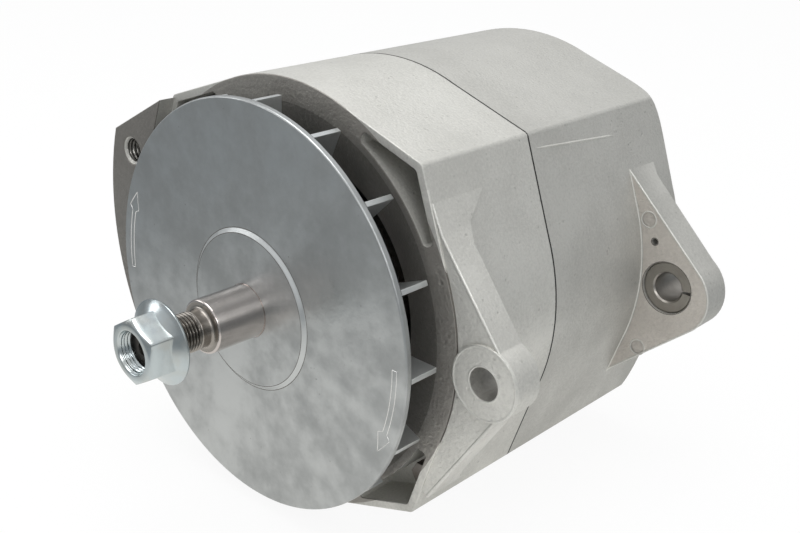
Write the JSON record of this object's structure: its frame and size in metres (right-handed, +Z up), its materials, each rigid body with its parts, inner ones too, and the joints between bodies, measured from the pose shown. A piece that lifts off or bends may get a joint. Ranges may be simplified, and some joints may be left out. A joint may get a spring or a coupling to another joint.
{
  "type": "alternator",
  "caption": "Brushless vehicle alternator with a cast two-piece housing, hinge ears, an adjusting ear, an outside disc fan and a threaded pulley shaft with its flanged nut.",
  "frame": {"origin": "on the shaft axis, at the face where the pulley hub meets the fan", "axes": "-Y along the shaft out of the drive end, +X towards the hinge ears, +Z up as pictured"},
  "size_m": [0.2375, 0.2532, 0.1834],
  "materials": {
    "cast_front": "as-cast aluminium, machined front face",
    "cast_rear": "as-cast aluminium",
    "cast_cover": "die-cast aluminium",
    "zinc_screws": "zinc-plated steel",
    "bolt_steel": "plain steel",
    "bushing_steel": "dark oiled steel",
    "fan_alloy": "smooth die-cast aluminium",
    "ground_steel": "ground steel",
    "nut_zinc": "bright zinc plate",
    "race_steel": "ground bearing steel",
    "ball_steel": "polished steel",
    "cage_brass": "pressed brass",
    "seal_rubber": "black rubber",
    "pole_iron": "forged iron, dark",
    "ring_steel": "stainless steel",
    "copper": "varnished copper wire",
    "bobbin_plastic": "moulded nylon",
    "lamination": "stacked sheet steel, varnished",
    "heat_sink": "plain aluminium plate",
    "insulator_red": "red moulded plastic",
    "insulator_black": "black moulded plastic",
    "diode_metal": "plated metal can",
    "stud_brass": "yellow plated steel"
  },
  "bodies": {
    "housing": {"drive_end_frame": "cast_front", "rear_frame": "cast_rear", "rear_cover": "cast_cover", "cover_screws": "zinc_screws", "through_bolts": "bolt_steel", "pivot_bushing": "bushing_steel", "front_bearing_outer_race": "race_steel", "front_bearing_seals": "seal_rubber", "bearing_retainer_plate": "race_steel", "retainer_screws": "zinc_screws", "field_coil": "copper", "field_coil_bobbin": "bobbin_plastic", "coil_support": "pole_iron", "support_screws": "zinc_screws", "stator_core": "lamination", "stator_windings": "copper", "phase_leads": "copper", "rear_bearing_outer_race": "race_steel", "negative_plate": "heat_sink", "positive_plate": "heat_sink", "plate_insulators": "insulator_red", "plate_screws": "zinc_screws", "diodes": "diode_metal", "regulator": "insulator_black", "regulator_screws": "zinc_screws", "capacitor": "diode_metal", "output_stud": "stud_brass", "output_insulator": "insulator_red", "output_nut": "stud_brass", "signal_studs": "stud_brass", "signal_insulators": "insulator_black", "ground_screw": "zinc_screws"},
    "rotor": {"rotor_shaft": "ground_steel", "fan": "fan_alloy", "fan_collar": "ground_steel", "front_bearing_inner_race": "race_steel", "rotor_pole_front": "pole_iron", "rotor_pole_rear": "pole_iron", "rotor_pole_ring": "ring_steel", "rear_bearing_inner_race": "race_steel"},
    "front_ball_set": {"front_bearing_balls": "ball_steel", "front_bearing_cage": "cage_brass"},
    "rear_roller_set": {"rear_bearing_rollers": "ball_steel", "rear_bearing_cage": "cage_brass"},
    "nut": {"pulley_nut": "nut_zinc"}
  },
  "joints": [
    {"name": "rotor_spin", "type": "hinge", "parent": "housing", "child": "rotor", "pos_m": [0, 0, 0], "axis": [0, -1, 0], "continuous": true},
    {"name": "front_ball_orbit", "type": "hinge", "parent": "housing", "child": "front_ball_set", "pos_m": [0, 0.0425, 0], "axis": [0, -1, 0], "continuous": true},
    {"name": "rear_roller_orbit", "type": "hinge", "parent": "housing", "child": "rear_roller_set", "pos_m": [0, 0.157, 0], "axis": [0, -1, 0], "continuous": true},
    {"name": "nut_travel", "type": "slide", "parent": "rotor", "child": "nut", "axis": [0, -1, 0], "range_m": [-0.01693, 0.06]}
  ],
  "couplings": [
    {"joint": "front_ball_orbit", "follows": "rotor_spin", "ratio": 0.369},
    {"joint": "rear_roller_orbit", "follows": "rotor_spin", "ratio": 0.4093}
  ]
}
